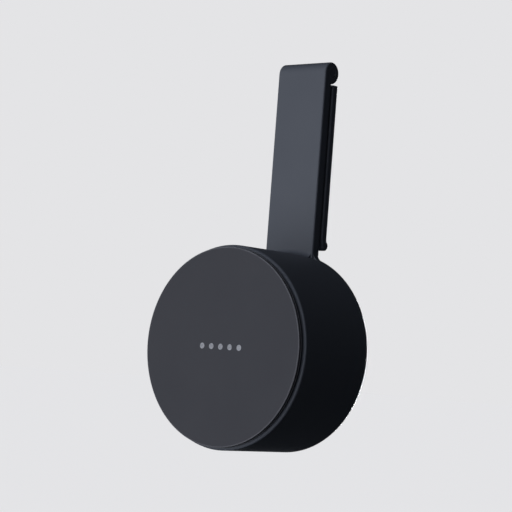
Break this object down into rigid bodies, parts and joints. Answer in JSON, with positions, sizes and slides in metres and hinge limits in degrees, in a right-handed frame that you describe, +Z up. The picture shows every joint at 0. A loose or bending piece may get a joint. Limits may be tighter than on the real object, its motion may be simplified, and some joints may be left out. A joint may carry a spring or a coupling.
{
  "type": "bag clip",
  "caption": "Spring-loaded bag clip: two flat leaves hinged under a round hood, with a round measuring scoop on the end of the front leaf.",
  "frame": {"origin": "centre of the bag slot at its closed top end, where the edge of the bag stops", "axes": "+X to the right seen from the scoop's side, +Y through the bag from the scoop's side to the rear leaf, +Z up along the leaves towards the hinge"},
  "size_m": [0.09, 0.0534, 0.178],
  "materials": {
    "shell": "fine satin texture on dark slate plastic",
    "liner": "smooth food-safe plastic, dark grey",
    "cap": "flat fine-textured plastic, graphite",
    "screws": "zinc-plated steel",
    "pad_plates": "plain moulded plastic, near black",
    "pads": "ribbed silicone, mid grey",
    "pin": "ground stainless steel",
    "spring": "drawn stainless spring wire",
    "sleeve": "natural acetal"
  },
  "bodies": {
    "scoop": {"cup_shell": "shell", "cup_liner": "liner", "base_cap": "cap", "liner_screws": "screws", "front_pad_plate": "pad_plates", "front_plate_screws": "screws", "front_grip_pad": "pads", "hinge_pin": "pin", "pin_plugs": "shell", "torsion_spring": "spring", "spring_sleeve": "sleeve"},
    "clamp_leaf": {"rear_leaf": "shell", "rear_pad_plate": "pad_plates", "rear_plate_screws": "screws", "rear_grip_pad": "pads"}
  },
  "joints": [
    {"name": "clamp_hinge", "type": "hinge", "parent": "scoop", "child": "clamp_leaf", "pos_m": [0, -0.0006, 0.0032], "axis": [1, 0, 0], "range_deg": [0, 30], "stiffness_Nm_per_rad": 0.077, "springref_deg": -91.67, "deforming": ["torsion_spring"]}
  ]
}
